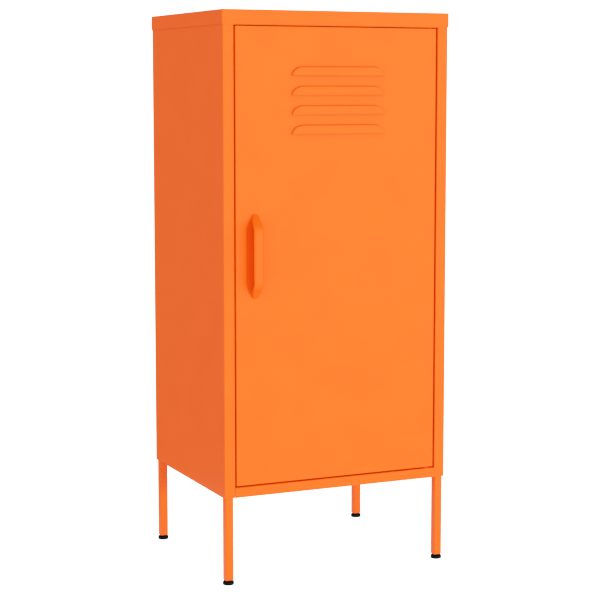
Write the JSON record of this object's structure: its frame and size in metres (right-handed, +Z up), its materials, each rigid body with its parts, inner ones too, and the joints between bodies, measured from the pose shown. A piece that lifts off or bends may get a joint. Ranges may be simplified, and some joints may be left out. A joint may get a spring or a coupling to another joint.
{
  "type": "school locker",
  "caption": "Tall steel locker on slim square legs with levelling feet; a single louvred door with a side pull opens onto adjustable shelves.",
  "frame": {"origin": "on the floor, under the middle of the whole box, handle included", "axes": "+Z up, -Y towards the door's front, +X to the hinge side"},
  "size_m": [0.444, 0.3898, 1.015],
  "materials": {
    "orange_paint": "satin powder coat",
    "zinc_steel": "zinc plated",
    "black_plastic": "moulded, fine matt grain",
    "black_rubber": "soft matt",
    "orange_nylon": "dyed through to match the coat",
    "magnet": "ground ferrite"
  },
  "bodies": {
    "cabinet": {"back_panel": "orange_paint", "back_screw_left_1": "zinc_steel", "back_screw_left_2": "zinc_steel", "back_screw_left_3": "zinc_steel", "back_screw_right_1": "zinc_steel", "back_screw_right_2": "zinc_steel", "back_screw_right_3": "zinc_steel", "base_panel": "orange_paint", "catch_housing": "black_plastic", "catch_magnet": "magnet", "door_buffer_lower": "black_rubber", "door_buffer_upper": "black_rubber", "hinge_bush_bottom": "orange_nylon", "hinge_bush_top": "orange_nylon", "leg_bolt_front_left": "zinc_steel", "leg_bolt_front_right": "zinc_steel", "leg_bolt_rear_left": "zinc_steel", "leg_bolt_rear_right": "zinc_steel", "leg_plate_front_left": "orange_paint", "leg_plate_front_right": "orange_paint", "leg_plate_rear_left": "orange_paint", "leg_plate_rear_right": "orange_paint", "leg_plug_front_left": "black_plastic", "leg_plug_front_right": "black_plastic", "leg_plug_rear_left": "black_plastic", "leg_plug_rear_right": "black_plastic", "leg_tube_front_left": "orange_paint", "leg_tube_front_right": "orange_paint", "leg_tube_rear_left": "orange_paint", "leg_tube_rear_right": "orange_paint", "shelf_clip_lower_left_front": "zinc_steel", "shelf_clip_lower_left_rear": "zinc_steel", "shelf_clip_lower_right_front": "zinc_steel", "shelf_clip_lower_right_rear": "zinc_steel", "shelf_clip_upper_left_front": "zinc_steel", "shelf_clip_upper_left_rear": "zinc_steel", "shelf_clip_upper_right_front": "zinc_steel", "shelf_clip_upper_right_rear": "zinc_steel", "shelf_lower": "orange_paint", "shelf_rail_left_front": "orange_paint", "shelf_rail_left_rear": "orange_paint", "shelf_rail_right_front": "orange_paint", "shelf_rail_right_rear": "orange_paint", "shelf_upper": "orange_paint", "side_panel_left": "orange_paint", "side_panel_right": "orange_paint", "top_cap": "orange_paint", "top_rail": "orange_paint"},
    "door": {"door_handle": "orange_paint", "door_skin": "orange_paint", "door_stiffener": "orange_paint", "handle_screw_lower": "zinc_steel", "handle_screw_upper": "zinc_steel", "hinge_pin_bottom": "orange_paint", "hinge_pin_top": "orange_paint", "strike_plate": "zinc_steel"},
    "leveller_front_left": {"foot_front_left": "black_plastic"},
    "leveller_front_right": {"foot_front_right": "black_plastic"},
    "leveller_rear_left": {"foot_rear_left": "black_plastic"},
    "leveller_rear_right": {"foot_rear_right": "black_plastic"}
  },
  "joints": [
    {"name": "door_hinge", "type": "hinge", "parent": "cabinet", "child": "door", "pos_m": [0.185, -0.1589, 0.58265], "axis": [0, 0, 1], "range_deg": [0, 110]},
    {"name": "leveller_front_left_screw", "type": "slide", "parent": "cabinet", "child": "leveller_front_left", "axis": [0, 0, -1], "range_m": [0, 0.005]},
    {"name": "leveller_front_right_screw", "type": "slide", "parent": "cabinet", "child": "leveller_front_right", "axis": [0, 0, -1], "range_m": [0, 0.005]},
    {"name": "leveller_rear_left_screw", "type": "slide", "parent": "cabinet", "child": "leveller_rear_left", "axis": [0, 0, -1], "range_m": [0, 0.005]},
    {"name": "leveller_rear_right_screw", "type": "slide", "parent": "cabinet", "child": "leveller_rear_right", "axis": [0, 0, -1], "range_m": [0, 0.005]}
  ]
}
